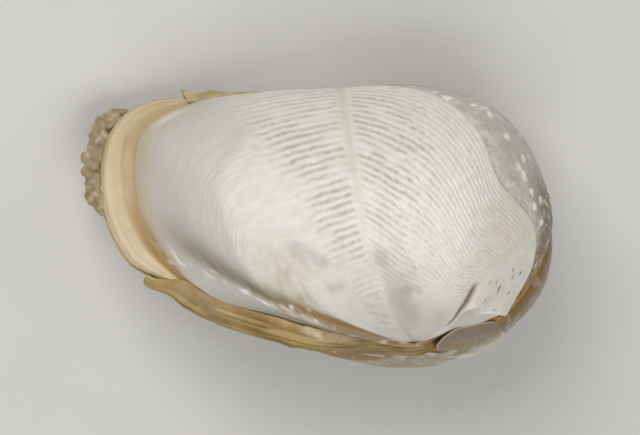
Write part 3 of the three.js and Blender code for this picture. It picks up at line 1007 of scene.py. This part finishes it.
def add_seam_strip(name, stretch, material, columns, half_width, fraying, fullness, thickness, gap,
                   wrap, shift=0.0, haze=0.0, ochre_edge=0.0,
                   film=nowhere, paleness=nowhere, near_share=everywhere):
    """Strip along the seam; what varies along it is a function of the share of its length."""
    station, across = point_grid(stretch, (1, -1), (columns, STRIP_ROWS))
    along = (station - stretch[0]) / (stretch[1] - stretch[0])
    full = fullness(along)
    frayed = 1 + fraying * flat_field(station * 7, across * 1.5, seed=43)
    fibre = FIBRE_HEIGHT * flat_field(across * 9, station * 2.5, seed=41)
    torn = film(along) * ramp(across + 0.2 * flat_field(station * 5, across * 3, seed=44), 0.68, 0.95)
    crumbs = CRUMB_HEIGHT * torn * ramp(flat_field(station * 11, across * 5, seed=45), 0.1, 0.6)
    crown = (thickness(along) * frayed - STRIP_EDGE) * (1 - across ** 2) * full
    under = gap(along) - wrap(along) * across ** 2
    height = shift + half_width * full * frayed * across * np.where(across > 0, near_share(along), 1.0)
    outside = beside_margin(station, under + STRIP_EDGE + crown + fibre + crumbs, height)
    inside = beside_margin(station, under, height)
    edge = np.maximum(ramp(np.abs(across), 0.9, 0.98), ramp(np.abs(2 * along - 1), 0.95, 1.0))
    milky = np.maximum(torn, haze)
    paint = {
        "streak": 0.7 * ramp(flat_field(across * 12, station * 1.5, seed=42), 0.15, 0.65),
        "rim": 0.8 * edge,
        "ochre": ochre_edge * ramp(across, 0.78, 0.95) * fade(along, 0.85, 1.0) * (1 - milky),
        "film": milky,
        "pale": paleness(along),
    }
    piece = walled_mesh(name + "_strip", outside, inside, LEFT, False, paint, material)
    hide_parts(name)


def add_metaplax(material):
    """Long strip behind the beaks, with torn film in its middle."""
    add_seam_strip(
        "metaplax", METAPLAX_STRETCH, material,
        columns=240, half_width=1.5 * MM, fraying=0.07, ochre_edge=0.6,
        fullness=lambda along: 0.5 + 0.5 * ramp(along, 0.3, 0.58),
        thickness=lambda along: MM * (0.6 + 0.75 * ramp(along, 0.3, 0.5) - 0.75 * ramp(along, 0.82, 1.0)),
        gap=lambda along: MM * (0.35 - 0.5 * fade(along, 0.25, 0.4) + 1.6 * ramp(along, 0.86, 1.0)),
        wrap=lambda along: MM * (0.45 + 0.2 * ramp(along, 0.6, 0.74)) * fade(along, 0.86, 1.0),
        film=lambda along: band(along, (0.33, 0.42), (0.52, 0.64)),
        paleness=lambda along: 0.75 * ramp(along, 0.8, 0.97),
        near_share=lambda along: 1 - 0.5 * ramp(along, 0.6, 0.74),
    )


def add_hypoplax(material):
    """Frayed strip on the lower edge, thinning towards the front."""
    add_seam_strip(
        "hypoplax", HYPOPLAX_STRETCH, material,
        columns=110, half_width=0.8 * MM, fraying=0.3, haze=0.6,
        fullness=lambda along: np.maximum(0.25, (1 - along) ** 0.5),
        thickness=lambda along: MM * (1.05 - 0.85 * ramp(along, 0.2, 0.95)),
        gap=lambda along: MM * (0.22 - 0.2 * ramp(along, 0.0, 0.3)),
        wrap=lambda along: 0.5 * MM,
        paleness=lambda along: 0.9,
    )


def add_mesoplax(material):
    add_seam_strip(
        "mesoplax", MESOPLAX_STRETCH, material,
        columns=90, half_width=1.85 * MM, fraying=0.03, shift=0.1 * MM,
        fullness=lambda along: np.maximum(0.12, np.sin(np.pi * along) ** 0.5),
        thickness=lambda along: 0.45 * MM,
        gap=lambda along: 0.5 * MM,
        wrap=lambda along: 0.2 * MM,
    )


def add_membrane(material):
    station, across = point_grid(MEMBRANE_STRETCH, (1, -1), MEMBRANE_GRID)
    half = seam_lift(station) + MEMBRANE_OVERLAP + MEMBRANE_WIDENING * ramp(station, 17.8, 18.7)
    crease = MEMBRANE_CREASE * flat_field(station * 6, across * 3, seed=51)
    crown = MEMBRANE_CROWN * (1 - across ** 2) - MEMBRANE_SINK
    outside = beside_margin(station, crown + crease, half * across)
    inside = beside_margin(station, -MEMBRANE_DEPTH, half * across)
    # Painted shadow: darkest towards the near side under the near front plate's edge and at one spot, with
    # random darker patches
    shadow_mask = spot(across, station, (18.4, 0.5), (0.2, 0.6))
    shadow_mask = shadow_mask + 0.5 * ramp(flat_field(station * 3, across * 2, seed=52), 0.1, 0.6)
    shadow_mask = np.clip(shadow_mask + 0.7 * ramp(across, 0.3, 0.9), 0, 0.9)
    piece = walled_mesh("membrane_skin", outside, inside, LEFT, False, {"dim": shadow_mask}, material)
    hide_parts("membrane")


# Siphon
def siphon_point(station, out, side):
    """Smooth body of the siphon tip: out runs from its root to its rounded end."""
    along = (station - SIPHON_FIRST) / (SIPHON_LAST - SIPHON_FIRST)
    fullness = np.sin(np.pi * np.clip(along, 0.04, 0.96)) ** 0.5
    hinge_root = fade(along, -0.15, 0.05)
    lower_root = ramp(along, 0.95, 1.15)
    thickness = SIPHON_NECK + SIPHON_SWELL * ramp(out, 0.5, 0.8) * (1 - hinge_root - lower_root)
    half = thickness * np.sqrt(np.maximum(0, 1 - out ** 8)) * fullness + SIPHON_EDGE
    stretch = SIPHON_REACH * (0.7 + 0.3 * fullness) * (1 - 0.65 * hinge_root - 0.85 * lower_root)
    reach = SIPHON_BASE * (1 - 0.7 * lower_root) + stretch * out
    return beside_margin(station, reach, half * side)


def lump(centre, radius, offset):
    """Rounded knob: points of a small ball with an uneven surface, pole to pole."""
    angles = np.linspace(0, 2 * np.pi, LUMP_COLUMNS, endpoint=False)
    lat, turn = np.meshgrid(np.linspace(0, np.pi, LUMP_ROWS), angles)
    ball = np.stack([np.sin(lat) * np.cos(turn), np.sin(lat) * np.sin(turn), np.cos(lat)], axis=-1)
    uneven = 1 + 0.25 * field(ball * 1.4 + offset, seed=63)
    return centre + ball * radius * uneven[..., None]


def add_lumps(material):
    random = np.random.default_rng(seed=64)
    points = []
    faces = []
    for index in range(LUMPS):
        place = random.uniform(SIPHON_FIRST + 0.05, SIPHON_LAST - 0.05)
        centre = siphon_point(place, random.uniform(0.3, 1.0), random.choice([-1, 1]))
        ball = lump(centre, random.uniform(*LUMP_RADII), index)
        faces.append(skin_faces(index * LUMP_ROWS * LUMP_COLUMNS, LUMP_COLUMNS, LUMP_ROWS, True, False))
        points.append(settle(ball).reshape(-1, 3))
    return make_piece("siphon_lumps", np.concatenate(points), np.concatenate(faces).tolist(), {}, material)


def add_siphon(material):
    """Flat body and its knobs, melted into one soft lump."""
    station, out = point_grid(SIPHON_ROOT, (0, 1), SIPHON_GRID)
    near = siphon_point(station, out, LEFT)
    far = siphon_point(station, out, RIGHT)
    piece = walled_mesh("siphon_tip", near, far, LEFT, False, {}, material)
    melt(piece, add_lumps(material))
    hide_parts("siphon")


def melt(piece, other):
    """Join another mesh to a piece and melt both into one smooth skin."""
    with bpy.context.temp_override(active_object=piece, selected_editable_objects=[piece, other]):
        bpy.ops.object.join()
    skin = piece.modifiers.new("skin", "REMESH")
    skin.mode = "VOXEL"
    skin.voxel_size = MELT_VOXEL
    skin.use_smooth_shade = True
    soften = piece.modifiers.new("soften", "SMOOTH")
    soften.iterations = MELT_SMOOTHING
    melted = bpy.data.meshes.new_from_object(piece.evaluated_get(bpy.context.evaluated_depsgraph_get()))
    piece.modifiers.clear()
    piece.data = melted


# Stage
def photo_axes():
    """Right, up and towards-the-camera of the photograph, in the part's frame."""
    axes = np.array([
        [1, 0, 0],
        [0, math.cos(VIEW_TILT), math.sin(VIEW_TILT)],
        [0, -math.sin(VIEW_TILT), math.cos(VIEW_TILT)],
    ])
    return turn_to_rest(axes.astype(float))


def photo_point(right, up, towards):
    axes = photo_axes()
    beak = settle(np.zeros(3))
    return beak + right * axes[0] + up * axes[1] + towards * axes[2]


def add_camera():
    axes = photo_axes()
    data = bpy.data.cameras.new("camera")
    data.sensor_width = SENSOR_WIDTH
    data.lens = SENSOR_WIDTH * CAMERA_DISTANCE / FRAME_WIDTH
    camera = bpy.data.objects.new("camera", data)
    place = photo_point(FRAME_CENTRE[0], FRAME_CENTRE[1], CAMERA_DISTANCE)
    turn = Matrix([Vector(axis) for axis in axes]).transposed().to_4x4()
    camera.matrix_world = Matrix.Translation(Vector(place)) @ turn
    scene.collection.objects.link(camera)
    scene.camera = camera


def add_light(name, place, power):
    data = bpy.data.lights.new(name, "AREA")
    data.size = LIGHT_SIZE
    data.energy = power
    light = bpy.data.objects.new(name, data)
    source = Vector(photo_point(*place))
    target = Vector(photo_point(FRAME_CENTRE[0], FRAME_CENTRE[1], 0))
    light.location = source
    light.rotation_euler = (target - source).to_track_quat("-Z", "Y").to_euler()
    scene.collection.objects.link(light)


def add_floor():
    half = FLOOR_HALF
    corners = [(-half, -half, 0), (half, -half, 0), (half, half, 0), (-half, half, 0)]
    mesh = bpy.data.meshes.new("floor")
    mesh.from_pydata(corners, [], [(0, 1, 2, 3)])
    mesh.materials.append(floor_material())
    floor = bpy.data.objects.new("floor", mesh)
    scene.collection.objects.link(floor)


def add_studio():
    world = bpy.data.worlds.new("studio")
    world.use_nodes = True
    background = world.node_tree.nodes["Background"]
    background.inputs["Color"].default_value = WHITE
    background.inputs["Strength"].default_value = SKY_STRENGTH
    scene.world = world
    scene.view_settings.view_transform = "Standard"
    add_light("key", KEY_PLACE, KEY_POWER)
    add_light("fill", FILL_PLACE, FILL_POWER)


def build():
    valve = valve_material()
    callum = callum_material()
    collar = collar_material()
    strip = strip_material()
    add_valve("left_valve", LEFT, 0.0, valve)
    add_valve("right_valve", RIGHT, FAR_VALVE_STAIN, valve)
    add_callum("left_callum", LEFT, 0.0, 0.0, callum)
    add_callum("right_callum", RIGHT, FAR_CALLUM_STAIN, FAR_SWELLING, callum)
    add_collar("left_siphonoplax", LEFT, collar)
    add_collar("right_siphonoplax", RIGHT, collar)
    add_metaplax(strip)
    add_hypoplax(strip)
    add_mesoplax(plate_material())
    add_membrane(membrane_material())
    add_siphon(siphon_material())


add_camera()
add_floor()
add_studio()
build()
